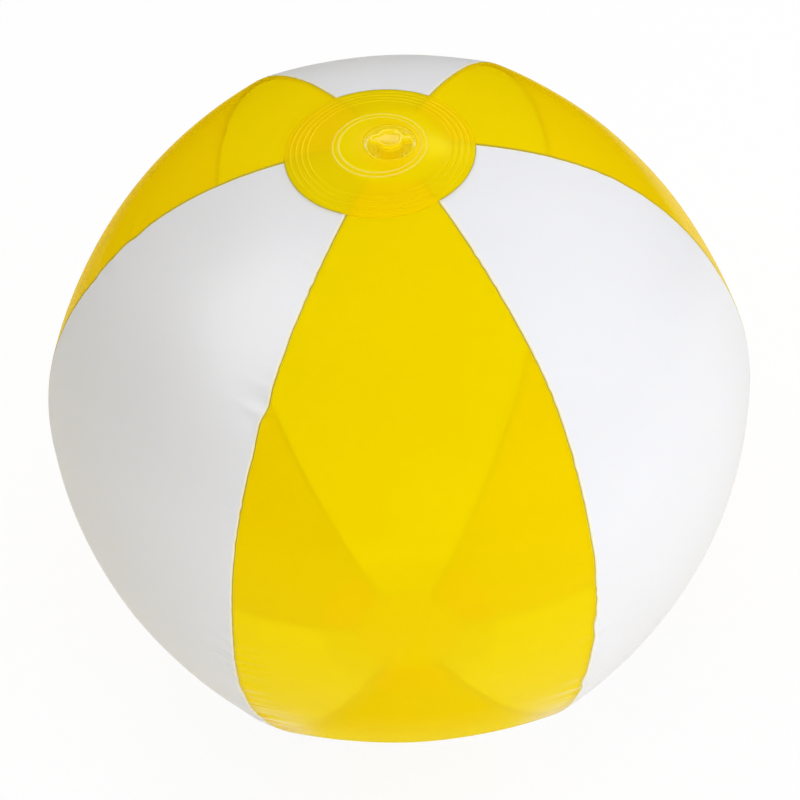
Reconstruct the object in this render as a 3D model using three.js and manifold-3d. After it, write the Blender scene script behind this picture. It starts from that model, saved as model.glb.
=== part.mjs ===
// Inflatable beach ball: six film gores welded edge to edge, a disc welded over each
// pole, and a push-in valve with a tethered stopper in the top disc.
// Millimetres, +Z up. The origin is under the ball's centre, on the surface it rests on.
// Azimuth 0 is +X, and the middle of the front yellow gore faces -Y.

import * as THREE from 'three';
import { mergeVertices } from 'three/addons/utils/BufferGeometryUtils.js';
import loadManifold from 'manifold-3d';

const wasm = await loadManifold();
wasm.setup();

// Envelope of the inflated ball
const seamRadius = 140; // equator, over the welded seams, which stand out as soft ridges
const poleHalfHeight = 138.5; // centre to pole, along a seam
const yellowSink = 5.6; // a yellow gore's middle lies this far inside the seam radius
const whiteSink = 4.3; // the same for a white gore
const filmThickness = 0.25;
const clearance = 0.3; // between neighbouring pieces

// Gores
const goreCount = 6;
const frontGoreAzimuth = -Math.PI / 2;
const finDepth = 3.5; // welded edge, turned inwards at each seam
const goreSteps = 20; // facets from tip to tip
const goreFacets = 8; // facets from seam to seam

// End discs
const tipMargin = 8.5; // from the valve flange to the gore tips
const weldOverlap = 14.5; // disc over gore tips
const discShift = 3.9; // the top disc is welded off centre, towards -X
const ribCount = 4; // pressed weld rings near the rim
const ribPitch = 2.2;
const ribWidth = 1;
const ribHeight = 0.3;
const ribMargin = 1.6; // rim to the middle of the first rib
const restPatchRadius = 15; // film pressed flat where the ball stands

// Valve body
const wellRadius = 9.5; // hole through the top disc and the flange
const flangeWidth = 4;
const flangeThickness = 1;
const boreRadius = 3.5;
const stemWall = 1.3;
const mouthRise = 2; // stem mouth above the middle of the flange
const lipWidth = 0.7;
const lipHeight = 0.9;
const lipChamfer = 0.25;
const skirtDrop = 6.5; // flange to collar, half of the valve's travel
const skirtThickness = 0.6;
const skirtSteps = 6;
const collarWidth = 0.8;
const collarHeight = 1.2;
const stemTail = 5.5; // stem below its collar

// Stopper, its strap and the check flap
const plugHeadRadius = 5;
const plugHeadThickness = 1.4;
const plugLength = 3.2; // shank inside the bore
const plugSteps = 4;
const plugNose = 0.5; // chamfer on the shank's end
const tabReach = 2.6; // finger tab beyond the head
const tabWidth = 4.4;
const strapWidth = 3;
const strapThickness = 0.7;
const flapOverlap = 0.8; // flap beyond the bore it covers
const flapThickness = 0.8;
const flapHingeWidth = 3;
const flapLugReach = 1.4; // hinge lug beyond the stem wall
const flapLugHeight = 1.2;

const discSegments = 48;
const valveSegments = 28;
const bendSegments = 10;

// Sizes that follow from those above
const goreHalfAngle = Math.PI / goreCount;
const flangeRadius = wellRadius + flangeWidth;
const goreTipRadius = flangeRadius + tipMargin;
const discRadius = goreTipRadius + weldOverlap;
const discLift = clearance + filmThickness; // outer face of a disc above the gores
const stemRadius = boreRadius + stemWall;
const lipRadius = stemRadius + lipWidth;
const collarRadius = stemRadius + collarWidth;

// Height of the ball's cap over its centre at a radius, raised by a lift along the pole
function capHeight(radius, lift) {
  const share = radius / (seamRadius + lift);
  return (poleHalfHeight + lift) * Math.sqrt(1 - share * share);
}

const centreHeight = capHeight(restPatchRadius, discLift);
const flangeMiddle = centreHeight + capHeight(wellRadius, -flangeThickness / 2);
const mouthHeight = flangeMiddle + mouthRise;
const collarMiddle = flangeMiddle - skirtDrop;
const stemFoot = collarMiddle - collarHeight / 2 - stemTail;
const headFoot = mouthHeight + clearance;

// The strap is a hairpin from the stem's lip to the stopper's head, inside the well
const strapLower = mouthHeight - lipHeight / 2;
const strapUpper = headFoot + plugHeadThickness / 2;
const strapBendRadius = (strapUpper - strapLower) / 2;
const strapBendHeight = (strapUpper + strapLower) / 2;
const strapBendReach = wellRadius - 2 * clearance - strapBendRadius - strapThickness / 2;

// Film materials of the gores and soft moulded vinyl for the valve
const yellowFilm = new THREE.MeshStandardMaterial({ color: '#f2d400', roughness: 0.25 });
const whiteFilm = new THREE.MeshStandardMaterial({ color: '#f1f1ef', roughness: 0.25 });
const valveVinyl = new THREE.MeshStandardMaterial({ color: '#efdc6a', roughness: 0.35 });

const ball = new THREE.Group();

function addPiece(name, geometry, material) {
  const piece = new THREE.Mesh(geometry, material);
  piece.name = name;
  ball.add(piece);
  return piece;
}

// A closed profile of radius and height, turned about the vertical axis
function revolve(profile, segments) {
  return new THREE.LatheGeometry(profile, segments).rotateX(Math.PI / 2);
}

function closed(profile) {
  return [...profile, profile[0].clone()];
}

function toSolid(geometry) {
  const bare = geometry.clone();
  bare.deleteAttribute('normal');
  bare.deleteAttribute('uv');
  const merged = mergeVertices(bare);
  return new wasm.Manifold(new wasm.Mesh({
    numProp: 3,
    vertProperties: new Float32Array(merged.attributes.position.array),
    triVerts: new Uint32Array(merged.index.array),
  }));
}

function join(first, second) {
  const mesh = toSolid(first).add(toSolid(second)).getMesh();
  const geometry = new THREE.BufferGeometry();
  geometry.setAttribute('position', new THREE.BufferAttribute(mesh.vertProperties, 3));
  geometry.setIndex(new THREE.BufferAttribute(mesh.triVerts, 1));
  geometry.computeVertexNormals();
  return geometry;
}

// Outer and inner line of one level cut through a gore whose middle faces +X.
// The film arches from seam to seam, flatter than a sphere, and turns in at both fins.
function goreSection(turn, sink) {
  const ridge = new THREE.Vector2(seamRadius * Math.cos(turn), poleHalfHeight * Math.sin(turn));
  const normal = new THREE.Vector2(
    poleHalfHeight * Math.cos(turn),
    seamRadius * Math.sin(turn),
  ).normalize();

  function atSeam(side, depth, inset) {
    const reach = ridge.x - depth * normal.x;
    return new THREE.Vector3(
      reach * Math.cos(goreHalfAngle) + inset * Math.sin(goreHalfAngle),
      side * (reach * Math.sin(goreHalfAngle) - inset * Math.cos(goreHalfAngle)),
      ridge.y - depth * normal.y,
    );
  }

  function onFilm(angle, depth) {
    const fromSeam = 1 - (angle / goreHalfAngle) ** 2;
    const reach = ridge.x * (1 - (sink / seamRadius) * fromSeam) - depth * normal.x;
    return new THREE.Vector3(
      reach * Math.cos(angle),
      reach * Math.sin(angle),
      ridge.y - depth * normal.y,
    );
  }

  function line(depth, inset) {
    const points = [atSeam(-1, finDepth, inset), atSeam(-1, depth, inset)];
    for (let facet = 1; facet < goreFacets; facet += 1) {
      points.push(onFilm((2 * facet / goreFacets - 1) * goreHalfAngle, depth));
    }
    points.push(atSeam(1, depth, inset), atSeam(1, finDepth, inset));
    return points;
  }

  return {
    outer: line(0, clearance / 2),
    inner: line(filmThickness, clearance / 2 + filmThickness),
  };
}

// The gore is lofted through its level cuts from the lower tip to the upper one
function goreGeometry(sink) {
  const tipTurn = Math.acos(goreTipRadius / seamRadius);
  const positions = [];
  const triangles = [];
  let lineLength = 0;
  for (let step = 0; step <= goreSteps; step += 1) {
    const { outer, inner } = goreSection((2 * step / goreSteps - 1) * tipTurn, sink);
    lineLength = outer.length;
    for (const point of [...outer, ...inner.reverse()]) {
      positions.push(point.x, point.y, point.z);
    }
  }

  const ringLength = 2 * lineLength;
  for (let step = 0; step < goreSteps; step += 1) {
    const low = step * ringLength;
    const high = low + ringLength;
    for (let here = 0; here < ringLength; here += 1) {
      const next = (here + 1) % ringLength;
      triangles.push(low + here, low + next, high + next);
      triangles.push(low + here, high + next, high + here);
    }
  }

  const top = goreSteps * ringLength;
  for (let here = 0; here < lineLength - 1; here += 1) {
    const next = here + 1;
    const innerHere = ringLength - 1 - here;
    const innerNext = innerHere - 1;
    triangles.push(here, innerNext, next, here, innerHere, innerNext);
    triangles.push(top + here, top + next, top + innerNext);
    triangles.push(top + here, top + innerNext, top + innerHere);
  }

  const geometry = new THREE.BufferGeometry();
  geometry.setAttribute('position', new THREE.Float32BufferAttribute(positions, 3));
  geometry.setIndex(triangles);
  geometry.computeVertexNormals();
  return geometry;
}

// Yellow and white gores take turns round the ball, starting with yellow at the front
const goreNames = [
  'yellow_gore_front',
  'white_gore_right',
  'yellow_gore_right',
  'white_gore_back',
  'yellow_gore_left',
  'white_gore_left',
];
goreNames.forEach((name, place) => {
  const isYellow = place % 2 === 0;
  const gore = addPiece(
    name,
    goreGeometry(isYellow ? yellowSink : whiteSink),
    isYellow ? yellowFilm : whiteFilm,
  );
  gore.position.z = centreHeight;
  gore.rotation.z = frontGoreAzimuth + 2 * place * goreHalfAngle;
});

// Faces of an end disc as heights over the ball's centre, from the middle to the rim
function discFace(innerRadius, lift) {
  const radii = [innerRadius];
  const bandRadius = discRadius - ribMargin - (ribCount - 0.5) * ribPitch;
  const steps = Math.ceil((bandRadius - innerRadius) / (2 * ribPitch));
  for (let step = 1; step <= steps; step += 1) {
    radii.push(innerRadius + (bandRadius - innerRadius) * step / steps);
  }
  radii.push(discRadius);
  return radii.map((radius) => new THREE.Vector2(radius, capHeight(radius, lift)));
}

function ribbedDiscFace(innerRadius, lift) {
  const face = discFace(innerRadius, lift);
  const rim = face.pop();
  for (let rib = ribCount - 1; rib >= 0; rib -= 1) {
    const middle = discRadius - ribMargin - rib * ribPitch;
    for (const side of [-1, 0, 1]) {
      const radius = middle + side * ribWidth / 2;
      const rise = side === 0 ? ribHeight : 0;
      face.push(new THREE.Vector2(radius, capHeight(radius, lift) + rise));
    }
  }
  face.push(rim);
  return face;
}

// Moves the rim off the valve's axis, the film less and less towards the hole, along the dome
function shiftRim(geometry, shift) {
  const points = geometry.attributes.position;
  for (let index = 0; index < points.count; index += 1) {
    const x = points.getX(index);
    const y = points.getY(index);
    const radius = Math.hypot(x, y);
    const movedX = x - shift * (radius - wellRadius) / (discRadius - wellRadius);
    const movedRadius = Math.hypot(movedX, y);
    const drop = capHeight(movedRadius, discLift) - capHeight(radius, discLift);
    points.setXYZ(index, movedX, y, points.getZ(index) + drop);
  }
  geometry.computeVertexNormals();
}

const valveDiscProfile = [
  ...discFace(wellRadius, clearance),
  ...ribbedDiscFace(wellRadius, discLift).reverse(),
];
const valveDiscGeometry = revolve(closed(valveDiscProfile), discSegments);
shiftRim(valveDiscGeometry, discShift);
const valveDisc = addPiece('valve_disc', valveDiscGeometry, yellowFilm);
valveDisc.position.z = centreHeight;

// The base disc mirrors the top one, without a hole and pressed flat in the middle
const restDepth = capHeight(restPatchRadius, discLift);
const baseDiscProfile = [
  new THREE.Vector2(0, restDepth),
  ...ribbedDiscFace(restPatchRadius, discLift),
  ...discFace(restPatchRadius, clearance).reverse(),
  new THREE.Vector2(0, capHeight(restPatchRadius, clearance)),
].map((point) => new THREE.Vector2(point.x, -point.y));
const baseDisc = addPiece('base_disc', revolve(baseDiscProfile, discSegments), yellowFilm);
baseDisc.position.z = centreHeight;

// The flange is welded under the top disc and follows its dome
const flangeProfile = [
  new THREE.Vector2(wellRadius, capHeight(wellRadius, -flangeThickness)),
  new THREE.Vector2(flangeRadius, capHeight(flangeRadius, -flangeThickness)),
  new THREE.Vector2(flangeRadius, capHeight(flangeRadius, 0)),
  new THREE.Vector2(wellRadius, capHeight(wellRadius, 0)),
];
const flange = addPiece('valve_flange', revolve(closed(flangeProfile), valveSegments), valveVinyl);
flange.position.z = centreHeight;

// The skirt is a soft funnel from the flange down to the stem's collar.
// Pulled out, it turns inside out and stands above the flange as far as it now hangs.
const skirtTopRadius = wellRadius - clearance - skirtThickness;
const skirtFootRadius = collarRadius + clearance;
const skirtInside = [];
const skirtOutside = [];
for (let step = 0; step <= skirtSteps; step += 1) {
  const share = step / skirtSteps;
  const eased = share * share * (3 - 2 * share);
  const radius = skirtTopRadius + (skirtFootRadius - skirtTopRadius) * eased;
  const height = -skirtDrop * share;
  skirtInside.push(new THREE.Vector2(radius, height));
  skirtOutside.push(new THREE.Vector2(radius + skirtThickness, height));
}
const skirtProfile = [...skirtInside, ...skirtOutside.reverse()];
const skirt = addPiece('valve_skirt', revolve(closed(skirtProfile), valveSegments), valveVinyl);
skirt.position.z = flangeMiddle;

// Stem: a tube with a lip at its mouth, a collar for the skirt and a lug for the flap
const stemProfile = [
  new THREE.Vector2(boreRadius, stemFoot),
  new THREE.Vector2(stemRadius, stemFoot),
  new THREE.Vector2(stemRadius, collarMiddle - collarHeight / 2),
  new THREE.Vector2(collarRadius, collarMiddle - collarHeight / 2),
  new THREE.Vector2(collarRadius, collarMiddle + collarHeight / 2),
  new THREE.Vector2(stemRadius, collarMiddle + collarHeight / 2),
  new THREE.Vector2(stemRadius, mouthHeight - lipHeight),
  new THREE.Vector2(lipRadius, mouthHeight - lipHeight),
  new THREE.Vector2(lipRadius, mouthHeight - lipChamfer),
  new THREE.Vector2(lipRadius - lipChamfer, mouthHeight),
  new THREE.Vector2(boreRadius, mouthHeight),
];
const flapHingeReach = stemRadius + flapLugReach;
const lugRoot = boreRadius + stemWall / 2;
const flapLug = new THREE.BoxGeometry(flapHingeReach - lugRoot, flapHingeWidth, flapLugHeight);
flapLug.translate((flapHingeReach + lugRoot) / 2, 0, stemFoot + flapLugHeight / 2);
const stemTube = revolve(closed(stemProfile), valveSegments);
addPiece('valve_stem', join(stemTube, flapLug), valveVinyl);

// A round plate with a tongue of the given reach and width towards +X
function tonguedPlate(radius, reach, width, thickness) {
  const halfWidth = width / 2;
  const start = Math.asin(halfWidth / radius);
  const outline = new THREE.Shape();
  outline.moveTo(reach, -halfWidth);
  outline.lineTo(reach, halfWidth);
  outline.absarc(0, 0, radius, start, 2 * Math.PI - start, false);
  outline.closePath();
  return new THREE.ExtrudeGeometry(outline, {
    depth: thickness,
    bevelEnabled: false,
    curveSegments: valveSegments,
  });
}

// The check flap hangs from the lug and closes the stem's foot from inside the ball
const flapGeometry = tonguedPlate(
  boreRadius + flapOverlap,
  flapHingeReach,
  flapHingeWidth,
  flapThickness,
);
const flap = addPiece('check_flap', flapGeometry, valveVinyl);
flap.position.z = stemFoot - clearance - flapThickness;

// The stopper's shank tapers just enough to swing out of the bore about the strap's bend
function shankRadius(depth) {
  const swing = Math.hypot(strapBendReach, depth + strapBendHeight - mouthHeight);
  return boreRadius - clearance - (swing - strapBendReach);
}

const shankProfile = [
  new THREE.Vector2(0, -plugLength),
  new THREE.Vector2(shankRadius(plugLength) - plugNose, -plugLength),
];
for (let step = plugSteps; step >= 0; step -= 1) {
  const depth = (plugLength - plugNose) * step / plugSteps;
  shankProfile.push(new THREE.Vector2(shankRadius(depth + plugNose * step / plugSteps), -depth));
}
const shankTop = clearance + plugHeadThickness / 2;
shankProfile.push(new THREE.Vector2(shankRadius(0), shankTop), new THREE.Vector2(0, shankTop));
const shank = revolve(shankProfile, valveSegments);
const plugHead = tonguedPlate(
  plugHeadRadius,
  plugHeadRadius + tabReach,
  tabWidth,
  plugHeadThickness,
);
plugHead.rotateZ(Math.PI).translate(0, 0, clearance);
const plug = addPiece('stopper_plug', join(plugHead, shank), valveVinyl);
plug.position.z = mouthHeight;

// Strap outline in its own plane: X outwards from the valve's axis, Y up from the bend
const strapLowerRoot = lipRadius + clearance;
const strapUpperRoot = plugHeadRadius + clearance;
const halfStrap = strapThickness / 2;
const strapOutline = new THREE.Shape();
strapOutline.moveTo(strapLowerRoot, -strapBendRadius - halfStrap);
strapOutline.absarc(strapBendReach, 0, strapBendRadius + halfStrap, -Math.PI / 2, Math.PI / 2, false);
strapOutline.lineTo(strapUpperRoot, strapBendRadius + halfStrap);
strapOutline.lineTo(strapUpperRoot, strapBendRadius - halfStrap);
strapOutline.absarc(strapBendReach, 0, strapBendRadius - halfStrap, Math.PI / 2, -Math.PI / 2, true);
strapOutline.lineTo(strapLowerRoot, -strapBendRadius + halfStrap);
strapOutline.closePath();
const strapGeometry = new THREE.ExtrudeGeometry(strapOutline, {
  depth: strapWidth,
  bevelEnabled: false,
  curveSegments: bendSegments,
});
strapGeometry.rotateX(Math.PI / 2).translate(0, strapWidth / 2, 0);
const strap = addPiece('plug_strap', strapGeometry, valveVinyl);
strap.position.z = strapBendHeight;

export default ball;
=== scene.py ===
"""Beach ball of six welded vinyl gores, with an end disc at each pole and a push-in valve, in metres."""

import math

import bpy
import numpy as np
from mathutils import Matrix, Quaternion, Vector


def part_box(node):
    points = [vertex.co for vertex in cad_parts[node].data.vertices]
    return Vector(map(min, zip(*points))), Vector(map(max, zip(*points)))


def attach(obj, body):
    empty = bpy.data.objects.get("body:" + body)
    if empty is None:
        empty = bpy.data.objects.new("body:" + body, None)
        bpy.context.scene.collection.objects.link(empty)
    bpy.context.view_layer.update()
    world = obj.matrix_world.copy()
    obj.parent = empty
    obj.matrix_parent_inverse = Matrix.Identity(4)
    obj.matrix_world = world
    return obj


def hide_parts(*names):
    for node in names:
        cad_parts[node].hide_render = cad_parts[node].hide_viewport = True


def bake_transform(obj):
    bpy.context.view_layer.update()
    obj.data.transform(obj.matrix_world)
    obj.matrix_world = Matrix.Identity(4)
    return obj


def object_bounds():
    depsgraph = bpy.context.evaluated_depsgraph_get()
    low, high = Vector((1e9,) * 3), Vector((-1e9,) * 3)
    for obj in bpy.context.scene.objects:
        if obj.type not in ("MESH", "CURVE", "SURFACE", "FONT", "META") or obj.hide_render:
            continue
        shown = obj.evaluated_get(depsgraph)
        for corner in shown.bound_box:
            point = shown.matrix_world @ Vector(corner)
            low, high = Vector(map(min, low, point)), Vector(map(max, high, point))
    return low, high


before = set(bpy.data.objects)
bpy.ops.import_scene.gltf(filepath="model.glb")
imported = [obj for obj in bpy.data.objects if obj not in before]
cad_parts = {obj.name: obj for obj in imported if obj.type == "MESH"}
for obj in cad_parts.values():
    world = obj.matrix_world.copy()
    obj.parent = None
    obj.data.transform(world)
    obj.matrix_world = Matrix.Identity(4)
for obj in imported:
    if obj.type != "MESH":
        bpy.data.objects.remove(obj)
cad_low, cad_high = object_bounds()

# The camera stands in front of the ball and looks down on it at about 45 degrees, from far
# enough away that the seams run almost without perspective. Light scatters from wall to wall
# inside the translucent ball, so it is followed for more bounces than usual.
front_low, front_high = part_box("yellow_gore_front")
ball_centre = Vector((0, 0, (front_low.z + front_high.z) / 2))
camera_azimuth = math.radians(-1.37)
camera_elevation = math.radians(45.22)
camera_roll = math.radians(-2.28)
camera_distance = 2.0044
camera_lens = 226.2
camera_sensor = 36

towards_camera = Vector((
    math.sin(camera_azimuth) * math.cos(camera_elevation),
    -math.cos(camera_azimuth) * math.cos(camera_elevation),
    math.sin(camera_elevation),
))
bpy.ops.object.select_all(action="DESELECT")
bpy.ops.object.camera_add(location=ball_centre + towards_camera * camera_distance)
camera = bpy.context.object
camera.name = "camera"
camera.data.sensor_width = camera_sensor
camera.data.lens = camera_lens
camera.rotation_mode = "QUATERNION"
camera_aim = (-towards_camera).to_track_quat("-Z", "Y")
camera.rotation_quaternion = camera_aim @ Quaternion((0, 0, 1), camera_roll)
bpy.context.scene.camera = camera
bpy.context.scene.view_settings.view_transform = "Standard"
bpy.context.scene.cycles.max_bounces = 24
bpy.context.scene.cycles.diffuse_bounces = 12
bpy.context.scene.cycles.transparent_max_bounces = 16


# The ball stands on a white table in a white tent. Beside the ball both show white to the camera, and
# the table still takes a faint shadow. Seen through the films the table is painted a little darker, in
# reflections it is painted darker towards the back left, and reflections show a yellow pool of light
# painted on it in front of the ball.
class Wire:
    """An output socket. Arithmetic on it adds Math nodes to its finish."""

    def __init__(self, finish, socket):
        self.finish = finish
        self.socket = socket

    def math(self, operation, first, second):
        return self.finish.node("ShaderNodeMath", {"operation": operation}, {0: first, 1: second})

    def __add__(self, other):
        return self.math("ADD", self, other)

    def __radd__(self, other):
        return self.math("ADD", other, self)

    def __sub__(self, other):
        return self.math("SUBTRACT", self, other)

    def __rsub__(self, other):
        return self.math("SUBTRACT", other, self)

    def __mul__(self, other):
        return self.math("MULTIPLY", self, other)

    def __rmul__(self, other):
        return self.math("MULTIPLY", other, self)

    def __abs__(self):
        return self.math("ABSOLUTE", self, 0)

    def __lt__(self, other):
        return self.math("LESS_THAN", self, other)

    def or_else(self, other):
        return self.math("MAXIMUM", self, other)


class Finish:
    """A node tree and the one way in which its nodes are made."""

    def __init__(self, tree):
        self.tree = tree
        tree.nodes.clear()

    def node(self, kind, settings=None, sockets=None, output=0):
        made = self.tree.nodes.new(kind)
        for name, value in (settings or {}).items():
            setattr(made, name, value)
        for name, value in (sockets or {}).items():
            if isinstance(value, Wire):
                self.tree.links.new(value.socket, made.inputs[name])
            else:
                made.inputs[name].default_value = value
        return Wire(self, made.outputs[output]) if made.outputs else made


def new_material(name):
    material = bpy.data.materials.new(name)
    material.use_nodes = True
    return material, Finish(material.node_tree)


def rays(finish, fact):
    """A wire with a fact about the ray that meets the surface."""
    return finish.node("ShaderNodeLightPath", output=fact)


def past_the_ball(finish):
    """A wire that is one where the camera looks past the ball, through none of its films."""
    return rays(finish, "Is Camera Ray") * (rays(finish, "Transparent Depth") < 1)


table_width = 2.4
table_depth = 1.8
table_back_edge = 0.44
table_gap = 0.0003
table_shadow_share = 0.09
table_albedo = 0.9
# painted shade: these five numbers set how much black the table takes where the camera sees it through the
# films, and where and how much it takes in reflections towards the back left
through_films_painted_shade = 0.2
table_dim_slant = 0.5
table_dim_start = 0.1
table_dim_end = 0.5
table_dim_share = 0.85
# where the painted yellow pool of light lies on the table, seen only in reflections
painted_pool_middle = -0.1
painted_pool_slant = 0.3
painted_pool_start = 0.045
painted_pool_end = 0.07
bpy.ops.object.select_all(action="DESELECT")
bpy.ops.mesh.primitive_plane_add(size=1, location=(0, table_back_edge - table_depth / 2, -table_gap))
bpy.ops.transform.resize(value=(table_width, table_depth, 1))
bpy.ops.object.transform_apply(location=True, rotation=False, scale=True)
table = bpy.context.object
table.name = "table"
table_material, table_finish = new_material("white_table")
table_beside = past_the_ball(table_finish)
table_through = rays(table_finish, "Is Camera Ray") - table_beside
table_mirrored = rays(table_finish, "Is Glossy Ray")
table_refracted = rays(table_finish, "Is Transmission Ray")
table_place = table_finish.node("ShaderNodeTexCoord", output="Object")
table_across = table_finish.node("ShaderNodeSeparateXYZ", sockets={"Vector": table_place}, output="X")
table_along = table_finish.node("ShaderNodeSeparateXYZ", sockets={"Vector": table_place}, output="Y")
# painted shade: the share of black in what the films mirror of the table, growing towards the back left
painted_far_shade = table_finish.node("ShaderNodeMapRange", sockets={
    "Value": table_along - table_across * table_dim_slant,
    "From Min": table_dim_start,
    "From Max": table_dim_end,
    "To Min": 0,
    "To Max": table_dim_share,
})
table_cloth = table_finish.node(
    "ShaderNodeBsdfDiffuse", sockets={"Color": (table_albedo, table_albedo, table_albedo, 1)},
)
table_dark = table_finish.node("ShaderNodeBsdfDiffuse", sockets={"Color": (0, 0, 0, 1)})
table_white = table_finish.node("ShaderNodeEmission", sockets={"Color": (1, 1, 1, 1), "Strength": 1.0})
# painted light: a yellow pool of light is painted on the table before the ball, for the light through the
# front gore. Only reflections see it, so the films there show a painted yellow reflection
table_painted_yellow_pool = table_finish.node("ShaderNodeEmission", sockets={"Color": (1, 0.9, 0, 1), "Strength": 1.0})
painted_pool_mask = table_finish.node("ShaderNodeMapRange", {"interpolation_type": "SMOOTHSTEP"}, {
    "Value": abs(table_across) + abs(table_along - painted_pool_middle) * painted_pool_slant,
    "From Min": painted_pool_start,
    "From Max": painted_pool_end,
    "To Min": 1,
    "To Max": 0,
})
table_lit = table_finish.node("ShaderNodeMixShader", sockets={
    0: table_mirrored * painted_pool_mask,
    1: table_white,
    2: table_painted_yellow_pool,
})
# painted shade: the table is mixed with black through the films and, in reflections, towards the back left
table_shaded = table_finish.node("ShaderNodeMixShader", sockets={
    0: table_through * through_films_painted_shade + table_mirrored * painted_far_shade,
    1: table_cloth,
    2: table_dark,
})
table_bright = table_beside.or_else(table_mirrored * (1 - painted_far_shade)).or_else(table_refracted)
table_look = table_finish.node("ShaderNodeMixShader", sockets={
    0: table_bright * (1 - table_shadow_share),
    1: table_shaded,
    2: table_lit,
})
table_finish.node("ShaderNodeOutputMaterial", sockets={"Surface": table_look})
table.data.materials.append(table_material)

tent_light = 0.38
world = bpy.data.worlds.new("tent")
world.use_nodes = True
bpy.context.scene.world = world
tent_finish = Finish(world.node_tree)
tent_bright = past_the_ball(tent_finish).or_else(rays(tent_finish, "Is Transmission Ray"))
tent_mirrored = rays(tent_finish, "Is Glossy Ray")
tent_look = tent_finish.node("ShaderNodeBackground", sockets={
    "Color": (1, 1, 1, 1),
    "Strength": tent_bright * (1 - tent_light) + tent_light - tent_mirrored * tent_light,
})
tent_finish.node("ShaderNodeOutputWorld", sockets={"Surface": tent_look})


# Four soft lamps light the ball through the tent: in front, above, to the right and behind on the left.
# Two more light nothing and are only mirrored in the films, as a sheen on the left and on the top disc.
def softbox(name, azimuth, elevation, distance, width, height, power, mirrored=False):
    """A soft lamp facing the ball, at an azimuth to the right of its front, that lights or is mirrored."""
    turn, rise = math.radians(azimuth), math.radians(elevation)
    away = Vector((math.sin(turn) * math.cos(rise), -math.cos(turn) * math.cos(rise), math.sin(rise)))
    bpy.ops.object.light_add(type="AREA", location=ball_centre + away * distance)
    lamp = bpy.context.object
    lamp.name = name
    lamp.data.shape = "RECTANGLE"
    lamp.data.size = width
    lamp.data.size_y = height
    lamp.data.energy = power
    lamp.rotation_mode = "QUATERNION"
    lamp.rotation_quaternion = away.to_track_quat("Z", "Y")
    lamp.visible_glossy = mirrored
    lamp.visible_diffuse = not mirrored


softbox("front_softbox", azimuth=24, elevation=8, distance=1.8, width=1.6, height=0.8, power=18.4)
softbox("top_softbox", azimuth=-10, elevation=70, distance=1.6, width=1.0, height=1.0, power=9.0)
softbox("right_softbox", azimuth=108, elevation=22, distance=1.7, width=1.6, height=1.2, power=13)
softbox("left_fill", azimuth=-150, elevation=46, distance=1.8, width=1.8, height=1.2, power=9.6)
softbox(
    "left_softbox", azimuth=-86, elevation=46, distance=1.5, width=0.9, height=1.1, power=9, mirrored=True,
)
softbox(
    "back_strip", azimuth=170, elevation=46, distance=1.5, width=0.7, height=0.25, power=1.6, mirrored=True,
)


# Six gores of soft vinyl film, yellow and white in turn. They are cut as long leaves and welded edge
# to edge inside out, so that each seam stands out as a ridge with its fins turned inwards.
film_thickness = 0.00025
tip_radius = 0.022
half_gore = math.pi / 6
fin_depth = 0.0018
fold_radius = 0.0005
seam_gap = 0.00006
seam_radius = cad_high.x
tip_height = (front_high.z - front_low.z) / 2
tip_turn = math.acos(tip_radius / seam_radius)
pole_height = tip_height / math.sin(tip_turn)
yellow_sink = seam_radius + front_low.y
white_sink = seam_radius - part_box("white_gore_back")[1].y

arc_columns = 24
fold_columns = 5
fin_columns = 3
half_columns = arc_columns + fold_columns + fin_columns
gore_rows = 440

pucker_pitch = 0.0064
pucker_height = 0.00024
pucker_shares = {
    # the seam's number, and 1 for the gore before it or -1 for the one after it
    (5, 1): 2.4,
    (5, -1): 1.7,
    (0, 1): 0.2,
    (0, -1): 0.12,
}
plain_pucker_share = 0.45
upper_pucker_share = 0.12
base_pucker_loss = 0.6
pucker_turns = (0.25, -0.35)
base_turns = (-0.45, -0.8)
pucker_reach = 0.0034
ridge_share = 0.35
film_seed = 100
seam_sway = 0.00016
sway_pitch = 1.4 * pucker_pitch
sway_reach = 0.006
sway_seed = 50
dent_share = 0.6
kink_length = 0.0042
seam_kinks = (
    # the seam's number, degrees above the equator, sideways step in metres
    (0, 9.4, 0.0003),
    (0, -4.5, -0.0006),
    (0, -20.3, -0.0007),
    (3, 22.0, 0.0005),
    (4, 43.5, 0.0005),
    (4, 35.0, -0.0004),
    (5, 40.1, 0.0008),
    (5, -21.0, 0.0003),
)
seam_bows = (
    # the seam's number, degrees above the equator, sideways shift in metres, degrees to each side
    (0, 40, 0.0019, 16),
    (0, -14, -0.0025, 16),
    (1, 48, 0.0046, 20),
    (2, 44, 0.0050, 26),
    (3, 42, -0.0026, 20),
    (4, 72, 0.0012, 12),
    (4, 34, 0.0008, 8),
    (5, 66, 0.0007, 20),
    (5, 18, -0.0006, 18),
    (5, -16, -0.0016, 14),
)
bow_reach = 0.03
slack_height = 0.00022
slack_pitch = 0.055
slack_shares = (0.7, 0.9, 1.15, 1.4)
slack_seed = 11
calm_radius = 0.043
calm_fade = 0.02


def soft_step(low, high, value):
    share = np.clip((value - low) / (high - low), 0, 1)
    return share * share * (3 - 2 * share)


def uneven_waves(seed, pitch, along):
    """Waves of about one pitch along a seam, which drift in and out of step."""
    drift_reach = 0.45 * pitch
    drift_length = 5.3 * pitch
    swell_length = 9.1 * pitch
    swell_mean = 0.6
    swell_reach = 0.4
    common_height = 1.3
    draw = np.random.default_rng(seed)
    drift = along + drift_reach * np.sin(2 * math.pi * along / drift_length + draw.uniform(0, 6))
    waves = np.zeros_like(along)
    for share, weight in ((0.61, 0.5), (1.0, 1.0), (1.43, 0.6)):
        waves += weight * np.sin(2 * math.pi * share * drift / pitch + draw.uniform(0, 6))
    swell = swell_mean + swell_reach * np.sin(2 * math.pi * along / swell_length + draw.uniform(0, 6))
    return waves * swell / common_height


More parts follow.
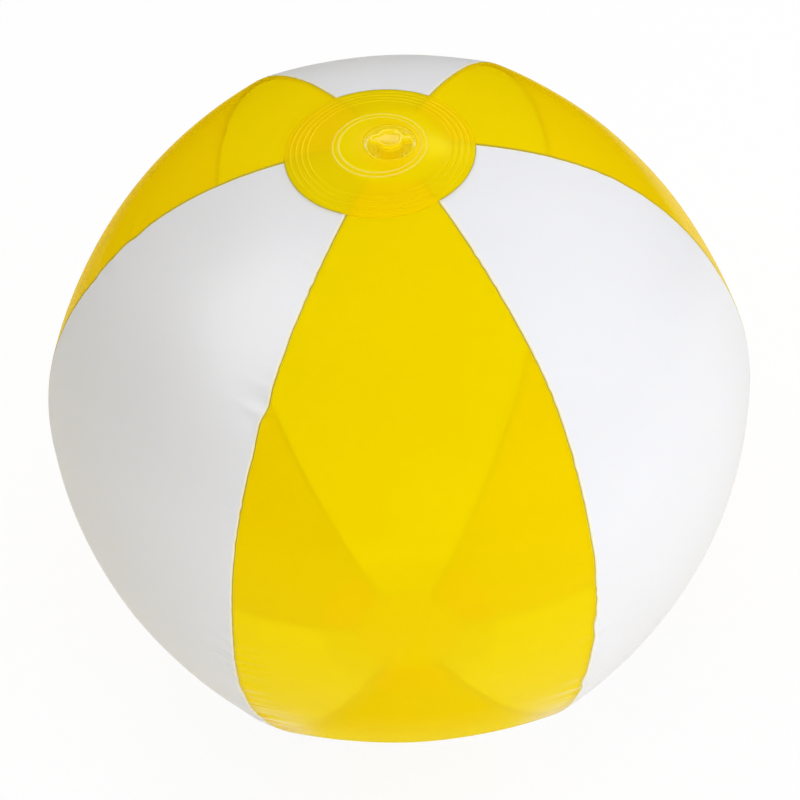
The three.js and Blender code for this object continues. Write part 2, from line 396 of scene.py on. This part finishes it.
def kink_steps(seam, turn):
    """Short sideways steps where a seam is creased from its folding."""
    steps = np.zeros_like(turn)
    for which, degrees, step in seam_kinks:
        if which == seam:
            off = (turn - math.radians(degrees)) * seam_radius / kink_length
            steps += step * off * np.exp(0.5 - off ** 2 / 2)
    return steps


def bow_shift(seam, turn):
    """The long sideways bows of a seam that isn't cut and welded quite straight."""
    shift = np.zeros_like(turn)
    for which, degrees, sideways, length in seam_bows:
        if which == seam:
            shift += sideways * np.exp(-((np.degrees(turn) - degrees) / length) ** 2)
    return shift


def slack(points):
    """Long soft waves of film that isn't blown up hard, over the whole ball."""
    draw = np.random.default_rng(slack_seed)
    waves = np.zeros(len(points))
    for share in slack_shares:
        way = draw.normal(size=3)
        way /= np.linalg.norm(way)
        waves += np.sin(2 * math.pi * share * (points @ way) / slack_pitch + draw.uniform(0, 6))
    return waves / len(slack_shares)


def spun(points, azimuth):
    """Points turned about the ball's axis, each by its own angle."""
    x, y, z = points.T
    turned_x = x * np.cos(azimuth) - y * np.sin(azimuth)
    turned_y = x * np.sin(azimuth) + y * np.cos(azimuth)
    return np.stack([turned_x, turned_y, z], axis=1)


def film_blank(name, columns, rows):
    """A flat grid of film, with each point's place across and along it from -1 to 1."""
    bpy.ops.object.select_all(action="DESELECT")
    bpy.ops.mesh.primitive_grid_add(x_subdivisions=columns, y_subdivisions=rows, size=2)
    blank = bpy.context.object
    blank.name = name
    blank.data.name = name
    points = np.empty(len(blank.data.vertices) * 3)
    blank.data.vertices.foreach_get("co", points)
    points = points.reshape(-1, 3)
    return blank, points[:, 0], points[:, 1]


def finish_film(piece, points, outer_face, inner_face):
    """Moves the film's points to their places and gives it its thickness inwards and its two faces."""
    piece.data.vertices.foreach_set("co", points.ravel())
    piece.data.update()
    piece.data.materials.append(outer_face)
    piece.data.materials.append(inner_face)
    wall = piece.modifiers.new("wall", "SOLIDIFY")
    wall.thickness = film_thickness
    wall.offset = -1
    wall.use_even_offset = True
    wall.material_offset = 1
    bpy.ops.object.modifier_apply(modifier=wall.name)
    bpy.ops.object.shade_smooth()


def blow_gore(name, place, sink, outer_face, inner_face):
    """A gore as it stands when the ball is full, with a fold and a fin along both edges."""
    gore, across, along = film_blank(name, 2 * half_columns, gore_rows)
    column = np.abs(across) * half_columns
    side = np.where(across < 0, -1.0, 1.0)
    turn = along * tip_turn
    ridge_radius = seam_radius * np.cos(turn)
    height = pole_height * np.sin(turn)
    normal_length = np.hypot(pole_height * np.cos(turn), seam_radius * np.sin(turn))
    normal_out = pole_height * np.cos(turn) / normal_length
    normal_up = seam_radius * np.sin(turn) / normal_length

    lean = np.arctan(2 * sink / seam_radius / half_gore * normal_out)
    edge_inset = seam_gap / 2 + fold_radius * (1 + np.sin(lean))
    edge_angle = half_gore - np.arcsin(edge_inset / ridge_radius)
    angle = side * edge_angle * np.sin(np.clip(column / arc_columns, 0, 1) * math.pi / 2)
    reach = ridge_radius * (1 - sink / seam_radius * (1 - (angle / half_gore) ** 2))
    points = np.stack([reach * np.cos(angle), reach * np.sin(angle), height], axis=1)

    bend = (math.pi / 2 + lean) * np.clip((column - arc_columns) / fold_columns, 0, 1) - lean
    fin_share = np.clip((column - arc_columns - fold_columns) / fin_columns, 0, 1)
    outwards = fold_radius * (np.cos(bend) - np.cos(lean)) - (fin_depth - fold_radius) * fin_share
    sideways = fold_radius * (np.sin(bend) + np.sin(lean))
    seam_out = np.stack([
        normal_out * math.cos(half_gore),
        normal_out * side * math.sin(half_gore),
        normal_up,
    ], axis=1)
    to_seam = np.stack([
        np.full_like(side, -math.sin(half_gore)),
        side * math.cos(half_gore),
        np.zeros_like(side),
    ], axis=1)
    points += outwards[:, None] * seam_out + sideways[:, None] * to_seam

    seam_distance = ridge_radius * (half_gore - np.abs(angle))
    seam_length = turn * seam_radius
    calm = soft_step(calm_radius, calm_radius + calm_fade, ridge_radius)
    pucker_level = upper_pucker_share + (1 - upper_pucker_share) * soft_step(*pucker_turns, turn)
    pucker_level -= base_pucker_loss * soft_step(*base_turns, turn)
    film_out = np.stack([normal_out * np.cos(angle), normal_out * np.sin(angle), normal_up], axis=1)
    azimuth = np.full_like(turn, -math.pi / 2 + place * 2 * half_gore)
    for which, hand in ((place, 1.0), ((place - 1) % 6, -1.0)):
        here = side == hand
        own_seed = film_seed + 10 * place + int(hand)
        near = seam_distance / pucker_reach
        puckers = uneven_waves(own_seed, pucker_pitch, seam_length) * near * np.exp(1 - near)
        ridge = ridge_share * uneven_waves(which, pucker_pitch, seam_length) * np.exp(-near)
        share = pucker_shares.get((which, hand), plain_pucker_share)
        rise = share * pucker_height * pucker_level * calm * (puckers + ridge) * here
        points += rise[:, None] * film_out
        sway = seam_sway * calm * uneven_waves(sway_seed + which, sway_pitch, seam_length)
        sway += kink_steps(which, turn)
        sway *= np.exp(-seam_distance / sway_reach) * here * hand
        points += sway[:, None] * to_seam
        dent = -dent_share * np.abs(kink_steps(which, turn)) * near * np.exp(1 - near) * here
        points += dent[:, None] * film_out
        azimuth += bow_shift(which, turn) / ridge_radius * np.exp(-seam_distance / bow_reach) * here

    points = spun(points, azimuth)
    points += (slack_height * calm * slack(points))[:, None] * spun(film_out, azimuth)
    points[:, 2] += ball_centre.z
    edge = gore.data.attributes.new("seam_distance", "FLOAT", "POINT")
    edge.data.foreach_set("value", (seam_distance + fin_share * fin_depth).astype(np.float32))
    finish_film(gore, points, outer_face, inner_face)
    return gore


weld_width = 0.0005
weld_fade = 0.0011
pigment_spread = 0.02
roughness_spread = 0.08
grazing_gloss = 0.34
grazing_start = 0.6
grazing_end = 1.05
# above these heights the grazing gloss is painted out
gloss_fade_low = 0.10
gloss_fade_high = 0.15


def faded(finish, value, start, end, first=1, last=0):
    """A wire that goes softly from the first number to the last while a value goes from start to end."""
    return finish.node("ShaderNodeMapRange", {"interpolation_type": "SMOOTHSTEP"}, {
        "Value": value,
        "From Min": start,
        "From Max": end,
        "To Min": first,
        "To Max": last,
    })


def tinted(finish, share, plain, full):
    """A colour that goes from plain to full with a share."""
    return finish.node("ShaderNodeMix", {"data_type": "RGBA"}, {0: share, 6: plain, 7: full}, output=2)


def uneven_pigment(finish, pigment, spread, cloud):
    """A pigment that is a little thinner and thicker from place to place."""
    thin = tuple((1 - spread) * part for part in pigment) + (1,)
    thick = tuple(min(1.0, (1 + spread) * part) for part in pigment) + (1,)
    return tinted(finish, cloud, thin, thick)


def film_finish(
    name, pigment, weld_shade_and_highlight_colour, clear, clear_share, glow_share, mirror_tint, roughness, ior, painted_ring_highlights=(),
):
    """Soft gloss vinyl: pigment in the film, some light glowing through it and some straight through."""
    material, film = new_material(name)
    place = film.node("ShaderNodeTexCoord", output="Object")
    cloud = film.node("ShaderNodeTexNoise", sockets={"Vector": place, "Scale": 22, "Detail": 3})
    grain = film.node("ShaderNodeTexNoise", sockets={"Vector": place, "Scale": 700, "Detail": 2})
    edge = film.node("ShaderNodeAttribute", {"attribute_name": "seam_distance"}, output="Fac")
    # the band along each seam and each disc rim takes the weld colour: a real weld, painted darker as shade
    # in the groove on the yellow film, and paler as a highlight on the crease on the white film
    weld_shade_and_highlight = faded(film, edge, weld_width, weld_fade)
    colour = uneven_pigment(film, pigment, pigment_spread, cloud)
    colour = tinted(film, weld_shade_and_highlight, colour, weld_shade_and_highlight_colour + (1,))
    # painted highlights: pale lines along the given rings, mottled by the cloud, where weld ridges catch
    # light
    for line_distance, line_width, line_colour in painted_ring_highlights:
        line = faded(film, abs(edge - line_distance), line_width / 2, line_width)
        colour = tinted(film, line * cloud, colour, line_colour + (1,))
    bump = film.node("ShaderNodeBump", sockets={"Strength": 0.05, "Distance": 0.0002, "Height": grain})
    body = film.node("ShaderNodeBsdfPrincipled", sockets={
        "Base Color": colour,
        "Roughness": cloud * roughness_spread + roughness,
        "IOR": ior,
        "Specular Tint": mirror_tint + (1,),
        "Normal": bump,
    })
    through = film.node("ShaderNodeBsdfTranslucent", sockets={"Color": pigment + (1,)})
    look = film.node("ShaderNodeMixShader", sockets={0: glow_share, 1: body, 2: through})
    if clear_share > 0:
        straight = film.node("ShaderNodeBsdfTransparent", sockets={"Color": clear + (1,)})
        look = film.node("ShaderNodeMixShader", sockets={0: (1 - weld_shade_and_highlight) * clear_share, 1: look, 2: straight})
        facing = film.node("ShaderNodeLayerWeight", output="Facing")
        grazing = faded(film, facing, grazing_start, grazing_end, 0, grazing_gloss)
        # painted reflection: the grazing gloss is real, but it is kept only low on the ball, below the
        # given heights, where it mirrors the table
        height = film.node("ShaderNodeSeparateXYZ", sockets={"Vector": place}, output="Z")
        painted_low_sheen = faded(film, height, gloss_fade_low, gloss_fade_high)
        gloss = film.node("ShaderNodeBsdfGlossy", sockets={
            "Color": (1, 1, 1, 1),
            "Roughness": 2 * roughness,
        })
        look = film.node("ShaderNodeMixShader", sockets={0: grazing * painted_low_sheen, 1: look, 2: gloss})
    film.node("ShaderNodeOutputMaterial", sockets={"Surface": look})
    return material


yellow_look = {
    "pigment": (1.0, 0.893, 0.0),
    # painted shade: the dark olive of the seams' groove and of the disc rims' edge
    "weld_shade_and_highlight_colour": (0.40, 0.33, 0.04),
    "clear": (1.0, 0.885, 0.01),
    "clear_share": 0.64,
    "glow_share": 0.26,
    "mirror_tint": (0.8, 1.0, 0.0),
    "roughness": 0.15,
    "ior": 1.8,
}
yellow_film = film_finish("yellow_film", **yellow_look)
yellow_lining = film_finish("yellow_lining", **(yellow_look | {"weld_shade_and_highlight_colour": yellow_look["pigment"]}))
white_look = {
    # painted highlight: the pale cream where the white gores' seams crease
    "weld_shade_and_highlight_colour": (1.0, 0.95, 0.62),
    "clear": (1.0, 1.0, 1.0),
    "clear_share": 0.0,
    "glow_share": 0.42,
    "mirror_tint": (1.0, 1.0, 1.0),
    "roughness": 0.29,
    "ior": 1.7,
}
white_film = film_finish("white_film", pigment=(0.82, 0.845, 0.935), **white_look)
lining_white = (0.98, 0.98, 0.98)
white_lining = film_finish(
    "white_lining", pigment=lining_white, **(white_look | {"weld_shade_and_highlight_colour": lining_white}),
)
gore_names = (
    "yellow_gore_front",
    "white_gore_right",
    "yellow_gore_right",
    "white_gore_back",
    "yellow_gore_left",
    "white_gore_left",
)
for gore_place, gore_name in enumerate(gore_names):
    gore_is_yellow = gore_name.startswith("yellow")
    if gore_is_yellow:
        gore = blow_gore(gore_name + "_film", gore_place, yellow_sink, yellow_film, yellow_lining)
    else:
        gore = blow_gore(gore_name + "_film", gore_place, white_sink, white_film, white_lining)
    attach(gore, "ball")
    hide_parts(gore_name)


# Two discs of the same yellow film are welded over the gores' tips, one at each pole. Rings of the
# welding tool stay pressed into the rim. The top disc sits a little off centre and has the valve's hole.
disc_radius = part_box("base_disc")[1].x
disc_shift = -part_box("valve_disc")[0].x - disc_radius
rest_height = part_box("base_disc")[0].z
well_clearance = 0.0003
hole_margin = 0.0009
well_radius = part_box("valve_skirt")[1].x + well_clearance
hole_radius = well_radius + hole_margin
disc_segments = 180
disc_gap = 0.00012
rib_count = 4
rib_pitch = 0.0022
rib_width = 0.001
rib_height = 0.00020
rib_margin = 0.0022
ring_step = 0.00025
plain_step = 0.0011
least_step = 1e-6
tip_blend = 0.006
valve_weld_rings = (0.0159, 0.0180)
valve_ring_share = 0.6
# the pale lines along the valve's weld rings are painted highlights
ring_highlight_width = 0.0005
ring_highlight_colour = (1.0, 0.93, 0.35)
rim_line_cut = 0.00045
plain_rim_distance = 0.002
disc_squeeze = 0.022
disc_forward = 0.0003


def gore_height(x, y):
    """Height of the gores' outer face over the ball's centre, at places near a pole."""
    radius = np.hypot(x, y)
    gore_turn = np.arctan2(y, x) + math.pi / 2
    place = np.round(gore_turn / (2 * half_gore))
    within = gore_turn - place * 2 * half_gore
    sink = np.where(place % 2 == 0, yellow_sink, white_sink)
    sink = sink * soft_step(tip_radius - tip_blend, tip_radius, radius)
    reach = seam_radius * (1 - sink / seam_radius * (1 - (within / half_gore) ** 2))
    return pole_height * np.sqrt(1 - (radius / reach) ** 2)


def rib_profile(radius, middle):
    """A rounded rib across a ring of the welding tool."""
    return np.cos(np.clip((radius - middle) / rib_width, -0.5, 0.5) * math.pi) ** 2


def weld_disc(name, inner_radius):
    """A flat disc drawn out ring by ring, with finer rings where the weld is pressed in."""
    bpy.ops.object.select_all(action="DESELECT")
    bpy.ops.mesh.primitive_circle_add(vertices=disc_segments, radius=inner_radius, fill_type="NOTHING")
    disc = bpy.context.object
    disc.name = name
    disc.data.name = name
    bpy.ops.object.mode_set(mode="EDIT")
    bpy.ops.mesh.select_all(action="SELECT")
    radius = inner_radius
    while radius < disc_radius - least_step:
        in_weld = radius > disc_radius - rib_margin - rib_count * rib_pitch
        near_valve = inner_radius == hole_radius and radius < valve_weld_rings[-1] + rib_width
        step = ring_step if in_weld or near_valve else plain_step
        wider = min(radius + step, disc_radius)
        bpy.ops.mesh.extrude_edges_move()
        bpy.ops.transform.resize(value=(wider / radius, wider / radius, 1))
        radius = wider
    bpy.ops.mesh.select_all(action="SELECT")
    bpy.ops.mesh.normals_make_consistent(inside=False)
    bpy.ops.object.mode_set(mode="OBJECT")
    points = np.empty(len(disc.data.vertices) * 3)
    disc.data.vertices.foreach_get("co", points)
    return disc, points.reshape(-1, 3)


def disc_relief(radius):
    ribs = np.zeros_like(radius)
    for rib in range(rib_count):
        ribs += rib_profile(radius, disc_radius - rib_margin - rib * rib_pitch)
    return rib_height * ribs


def rim_distance(piece, radius, points):
    """Distance from the rim. Its welded line is painted darker as the shadow of the disc's edge, and
    shows only where it lies over the white gores.
    """
    place = np.round((np.arctan2(points[:, 1], points[:, 0]) + math.pi / 2) / (2 * half_gore))
    distance = disc_radius + rim_line_cut - radius
    distance = np.where(place % 2 == 0, np.maximum(distance, plain_rim_distance), distance)
    edge = piece.data.attributes.new("seam_distance", "FLOAT", "POINT")
    edge.data.foreach_set("value", distance.astype(np.float32))


disc_film = film_finish(
    "disc_film",
    painted_ring_highlights=[
        (disc_radius + rim_line_cut - ring, ring_highlight_width, ring_highlight_colour) for ring in valve_weld_rings
    ],
    # painted shade: the top disc's pigment is a little darker than the gores', against the light from above
    **(yellow_look | {"pigment": (0.96, 0.86, 0.0), "clear_share": 0.54}),
)
base_film = film_finish("base_film", **(yellow_look | {"clear_share": 0.42}))

valve_disc, disc_points = weld_disc("valve_disc_film", hole_radius)
ring_radius = np.hypot(disc_points[:, 0], disc_points[:, 1])
disc_rise = disc_relief(ring_radius)
for weld_ring in valve_weld_rings:
    disc_rise += valve_ring_share * rib_height * rib_profile(ring_radius, weld_ring)
off_centre = np.clip((ring_radius - hole_radius) / (valve_weld_rings[0] - hole_radius), 0, 1)
disc_points[:, 0] -= disc_shift * off_centre
disc_points[:, 1] -= off_centre * (disc_squeeze * disc_points[:, 1] + disc_forward)
disc_points[:, 2] = gore_height(disc_points[:, 0], disc_points[:, 1]) + disc_rise
disc_points[:, 2] += ball_centre.z + disc_gap + film_thickness
rim_distance(valve_disc, ring_radius, disc_points)
finish_film(valve_disc, disc_points, disc_film, disc_film)
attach(valve_disc, "ball")
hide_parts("valve_disc")

base_disc, disc_points = weld_disc("base_disc_film", plain_step)
ring_radius = np.hypot(disc_points[:, 0], disc_points[:, 1])
drop = gore_height(disc_points[:, 0], disc_points[:, 1]) + disc_relief(ring_radius)
drop += disc_gap + film_thickness
disc_points[:, 2] = np.maximum(ball_centre.z - drop, rest_height)
rim_distance(base_disc, ring_radius, disc_points)
bpy.ops.object.mode_set(mode="EDIT")
bpy.ops.mesh.select_all(action="SELECT")
bpy.ops.mesh.flip_normals()
bpy.ops.mesh.select_all(action="DESELECT")
bpy.ops.object.mode_set(mode="OBJECT")
innermost = 1.01 * plain_step
for vertex, radius in zip(base_disc.data.vertices, ring_radius):
    vertex.select = bool(radius < innermost)
bpy.ops.object.mode_set(mode="EDIT")
bpy.ops.mesh.edge_face_add()
bpy.ops.mesh.select_all(action="SELECT")
bpy.ops.mesh.normals_make_consistent(inside=True)
bpy.ops.object.mode_set(mode="OBJECT")
finish_film(base_disc, disc_points, base_film, base_film)
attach(base_disc, "ball")
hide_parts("base_disc")


# The valve is moulded in soft yellow vinyl. Its flange is welded under the top disc, and a round bead
# at the flange's inner edge stands up through the disc's hole.
flange_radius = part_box("valve_flange")[1].x
flange_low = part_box("valve_flange")[0].z
flange_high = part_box("valve_flange")[1].z
flange_thickness = 0.001
bead_inset = 0.0001
bead_radius = (hole_radius - well_radius) / 2 - bead_inset
bead_rise = 0.0002
bead_root = 0.0001
bead_points = 10
valve_segments = 96


def turned(name, outline):
    """A closed outline of radius and height, spun about the ball's axis."""
    bpy.ops.object.select_all(action="DESELECT")
    bpy.ops.mesh.primitive_circle_add(vertices=len(outline), radius=1, fill_type="NOTHING")
    piece = bpy.context.object
    piece.name = name
    piece.data.name = name
    for vertex, (radius, height) in zip(piece.data.vertices, outline):
        vertex.co = (radius, 0, height)
    bpy.ops.object.mode_set(mode="EDIT")
    bpy.ops.mesh.select_all(action="SELECT")
    bpy.ops.mesh.spin(steps=valve_segments, angle=2 * math.pi, center=(0, 0, 0), axis=(0, 0, 1))
    bpy.ops.mesh.select_all(action="SELECT")
    bpy.ops.mesh.remove_doubles(threshold=1e-6)
    bpy.ops.mesh.delete_loose()
    bpy.ops.mesh.select_all(action="SELECT")
    bpy.ops.mesh.normals_make_consistent(inside=False)
    bpy.ops.object.mode_set(mode="OBJECT")
    return piece


def soften(piece, width):
    """Rounds the moulded edges and shades the rest smooth."""
    bpy.context.view_layer.objects.active = piece
    edges = piece.modifiers.new("rounded_edges", "BEVEL")
    edges.width = width
    edges.segments = 3
    edges.limit_method = "ANGLE"
    edges.angle_limit = math.radians(35)
    bpy.ops.object.modifier_apply(modifier=edges.name)
    bpy.ops.object.select_all(action="DESELECT")
    piece.select_set(True)
    bpy.ops.object.shade_smooth_by_angle(angle=math.radians(40))


mould_roughness = 0.1
mould_roughness_spread = 0.1
mould_pigment_spread = 0.04


def vinyl_finish(name, pigment, clear, clear_share, glow_share):
    """Moulded vinyl: glossy, a little uneven from the mould, and as translucent as the films."""
    material, vinyl = new_material(name)
    place = vinyl.node("ShaderNodeTexCoord", output="Object")
    cloud = vinyl.node("ShaderNodeTexNoise", sockets={"Vector": place, "Scale": 160, "Detail": 3})
    waves = vinyl.node("ShaderNodeTexNoise", sockets={"Vector": place, "Scale": 420, "Detail": 2})
    colour = uneven_pigment(vinyl, pigment, mould_pigment_spread, cloud)
    bump = vinyl.node("ShaderNodeBump", sockets={"Strength": 0.25, "Distance": 0.0003, "Height": waves})
    body = vinyl.node("ShaderNodeBsdfPrincipled", sockets={
        "Base Color": colour,
        "Roughness": cloud * mould_roughness_spread + mould_roughness,
        "IOR": 1.5,
        "Coat Weight": 1.0,
        "Coat Roughness": 0.06,
        "Coat IOR": 1.7,
        "Normal": bump,
    })
    through = vinyl.node("ShaderNodeBsdfTranslucent", sockets={"Color": pigment + (1,)})
    straight = vinyl.node("ShaderNodeBsdfTransparent", sockets={"Color": clear + (1,)})
    look = vinyl.node("ShaderNodeMixShader", sockets={0: glow_share, 1: body, 2: through})
    look = vinyl.node("ShaderNodeMixShader", sockets={0: clear_share, 1: look, 2: straight})
    vinyl.node("ShaderNodeOutputMaterial", sockets={"Surface": look})
    return material


valve_vinyl = vinyl_finish(
    "valve_vinyl",
    pigment=(1.0, 0.91, 0.02),
    clear=(1.0, 0.95, 0.25),
    clear_share=0.6,
    glow_share=0.35,
)


def fit_valve_piece(piece, *nodes):
    piece.data.materials.append(valve_vinyl)
    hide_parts(*nodes)


bead_top = flange_high + bead_rise
flange_outline = [
    (well_radius, flange_high - flange_thickness),
    (flange_radius, flange_low),
    (flange_radius, flange_low + flange_thickness),
    (well_radius + 2 * bead_radius, flange_high - bead_root),
]
for step in range(bead_points + 1):
    bead_turn = math.pi * step / bead_points
    flange_outline.append((
        well_radius + bead_radius * (1 + math.cos(bead_turn)),
        bead_top + bead_radius * math.sin(bead_turn),
    ))
flange = turned("valve_flange_ring", flange_outline)
soften(flange, width=0.00015)
fit_valve_piece(flange, "valve_flange")
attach(flange, "ball")


# A thin soft funnel joins the flange to the stem's collar. The real one turns inside out when the valve
# is pulled up, its upper edge staying with the ball and its foot going with the stem; here it is one
# fixed piece, attached to no body.
skirt_low, skirt_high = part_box("valve_skirt")
skirt_thickness = 0.0006
skirt_steps = 14
collar_radius = 0.0056
skirt_gap = 0.0001
skirt_foot_radius = collar_radius + skirt_gap
skirt_top_radius = skirt_high.x - skirt_thickness

skirt_inside = []
skirt_outside = []
for step in range(skirt_steps + 1):
    share = step / skirt_steps
    eased = soft_step(0, 1, share)
    radius = skirt_top_radius + (skirt_foot_radius - skirt_top_radius) * eased
    height = skirt_high.z + (skirt_low.z - skirt_high.z) * share
    skirt_inside.append((radius, height))
    skirt_outside.append((radius + skirt_thickness, height))
skirt = turned("valve_skirt_funnel", skirt_inside + skirt_outside[::-1])
soften(skirt, width=0.00012)
fit_valve_piece(skirt, "valve_skirt")
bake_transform(skirt)


# The stem is the tube that the mouth or a pump fills. It has a lip at its mouth, a collar where
# the funnel is moulded on, and a lug at its foot that carries the check flap.
stem_low, stem_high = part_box("valve_stem")
bore_radius = 0.0035
stem_radius = 0.0048
lip_radius = 0.0055
lip_height = 0.0009
collar_height = 0.0012
collar_middle = skirt_low.z
lug_reach = stem_high.x
lug_width = 0.003
lug_height = 0.0012

stem = turned("valve_stem_tube", [
    (bore_radius, stem_low.z),
    (stem_radius, stem_low.z),
    (stem_radius, collar_middle - collar_height / 2),
    (collar_radius, collar_middle - collar_height / 2),
    (collar_radius, collar_middle + collar_height / 2),
    (stem_radius, collar_middle + collar_height / 2),
    (stem_radius, stem_high.z - lip_height),
    (lip_radius, stem_high.z - lip_height),
    (lip_radius, stem_high.z),
    (bore_radius, stem_high.z),
])
lug_root = (bore_radius + stem_radius) / 2
bpy.ops.object.select_all(action="DESELECT")
bpy.ops.mesh.primitive_cube_add(
    size=1,
    location=((lug_root + lug_reach) / 2, 0, stem_low.z + lug_height / 2),
    scale=(lug_reach - lug_root, lug_width, lug_height),
)
lug = bpy.context.object
bpy.ops.object.transform_apply(location=True, rotation=False, scale=True)
bpy.context.view_layer.objects.active = stem
lug_join = stem.modifiers.new("lug", "BOOLEAN")
lug_join.operation = "UNION"
lug_join.object = lug
bpy.ops.object.modifier_apply(modifier=lug_join.name)
bpy.data.objects.remove(lug)
soften(stem, width=0.00018)
fit_valve_piece(stem, "valve_stem")
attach(stem, "valve")


# The check flap is a thin round leaf under the stem's foot. It hangs from the lug by its tongue, and
# the air in the ball presses it shut.
flap_low, flap_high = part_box("check_flap")
plate_points = 72


def tongued_plate(name, radius, reach, width, low, high):
    """A round plate with a tongue towards +X, or towards -X where the reach is negative."""
    bpy.ops.object.select_all(action="DESELECT")
    bpy.ops.mesh.primitive_circle_add(vertices=plate_points, radius=radius, fill_type="NGON")
    plate = bpy.context.object
    plate.name = name
    plate.data.name = name
    side = math.copysign(1, reach)
    for vertex in plate.data.vertices:
        if abs(vertex.co.y) <= width / 2 and vertex.co.x * side > 0:
            round_off = 1 - (2 * vertex.co.y / width) ** 4
            vertex.co.x = side * radius + (reach - side * radius) * round_off
        vertex.co.z = low
    bpy.ops.object.mode_set(mode="EDIT")
    bpy.ops.mesh.select_all(action="SELECT")
    bpy.ops.mesh.extrude_region_move(TRANSFORM_OT_translate={"value": (0, 0, high - low)})
    bpy.ops.mesh.select_all(action="SELECT")
    bpy.ops.mesh.normals_make_consistent(inside=False)
    bpy.ops.object.mode_set(mode="OBJECT")
    return plate


flap = tongued_plate("check_flap_leaf", flap_high.y, flap_high.x, lug_width, flap_low.z, flap_high.z)
soften(flap, width=0.00015)
fit_valve_piece(flap, "check_flap")
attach(flap, "flap")


# The stopper has a round head with a finger tab and a shank that plugs the bore. Its head is dished
# and has a raised rim, as such mouldings have.
plug_low, plug_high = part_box("stopper_plug")
head_radius = 0.005
head_thickness = 0.0014
head_rim = 0.0009
head_dish = 0.0005
tab_width = 0.0044
shank_gap = 0.0003
shank_taper = 0.0006
upright = 0.9

plug = tongued_plate(
    "stopper_plug_cap", head_radius, plug_low.x, tab_width, plug_high.z - head_thickness, plug_high.z,
)
bpy.ops.object.mode_set(mode="EDIT")
bpy.ops.mesh.select_all(action="DESELECT")
bpy.ops.object.mode_set(mode="OBJECT")
for face in plug.data.polygons:
    face.select = face.normal.z > upright
bpy.ops.object.mode_set(mode="EDIT")
bpy.ops.mesh.inset(thickness=head_rim, depth=0)
bpy.ops.mesh.inset(thickness=head_dish, depth=-head_dish)
bpy.ops.object.mode_set(mode="OBJECT")
shank_radius = bore_radius - shank_gap
shank = turned("shank", [
    (0, plug_low.z),
    (shank_radius - 2 * shank_taper, plug_low.z),
    (shank_radius - shank_taper, plug_low.z + shank_taper),
    (shank_radius, plug_high.z - head_thickness),
    (shank_radius, plug_high.z - head_thickness / 2),
    (0, plug_high.z - head_thickness / 2),
])
bpy.context.view_layer.objects.active = plug
shank_join = plug.modifiers.new("shank", "BOOLEAN")
shank_join.operation = "UNION"
shank_join.object = shank
bpy.ops.object.modifier_apply(modifier=shank_join.name)
bpy.data.objects.remove(shank)
soften(plug, width=0.0002)
fit_valve_piece(plug, "stopper_plug")
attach(plug, "plug")


# The strap ties the stopper to the stem's lip. It is a flat band, bent back on itself while the
# stopper is in. The real one unrolls as the stopper swings out; here it keeps this shape, attached to no
# body.
strap_low, strap_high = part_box("plug_strap")
strap_thickness = 0.0007
strap_bend_height = (strap_low.z + strap_high.z) / 2
strap_bend_radius = (strap_high.z - strap_low.z - strap_thickness) / 2
strap_bend_reach = strap_high.x - strap_bend_radius - strap_thickness / 2
strap_overlap = 0.0001
strap_points = 14

strap_outline = [(lip_radius - strap_overlap, -strap_bend_radius - strap_thickness / 2)]
for step in range(strap_points + 1):
    bend_turn = -math.pi / 2 + math.pi * step / strap_points
    outer_radius = strap_bend_radius + strap_thickness / 2
    strap_outline.append((
        strap_bend_reach + outer_radius * math.cos(bend_turn), outer_radius * math.sin(bend_turn),
    ))
strap_outline.append((head_radius - strap_overlap, strap_bend_radius + strap_thickness / 2))
strap_outline.append((head_radius - strap_overlap, strap_bend_radius - strap_thickness / 2))
for step in range(strap_points + 1):
    bend_turn = math.pi / 2 - math.pi * step / strap_points
    inner_radius = strap_bend_radius - strap_thickness / 2
    strap_outline.append((
        strap_bend_reach + inner_radius * math.cos(bend_turn), inner_radius * math.sin(bend_turn),
    ))
strap_outline.append((lip_radius - strap_overlap, -strap_bend_radius + strap_thickness / 2))
bpy.ops.object.select_all(action="DESELECT")
bpy.ops.mesh.primitive_circle_add(vertices=len(strap_outline), radius=1, fill_type="NGON")
strap = bpy.context.object
strap.name = "plug_strap_band"
strap.data.name = "plug_strap_band"
for vertex, (reach, rise) in zip(strap.data.vertices, strap_outline):
    vertex.co = (reach, strap_low.y, strap_bend_height + rise)
bpy.ops.object.mode_set(mode="EDIT")
bpy.ops.mesh.select_all(action="SELECT")
bpy.ops.mesh.extrude_region_move(TRANSFORM_OT_translate={"value": (0, strap_high.y - strap_low.y, 0)})
bpy.ops.mesh.select_all(action="SELECT")
bpy.ops.mesh.normals_make_consistent(inside=False)
bpy.ops.object.mode_set(mode="OBJECT")
soften(strap, width=0.00012)
fit_valve_piece(strap, "plug_strap")
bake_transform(strap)
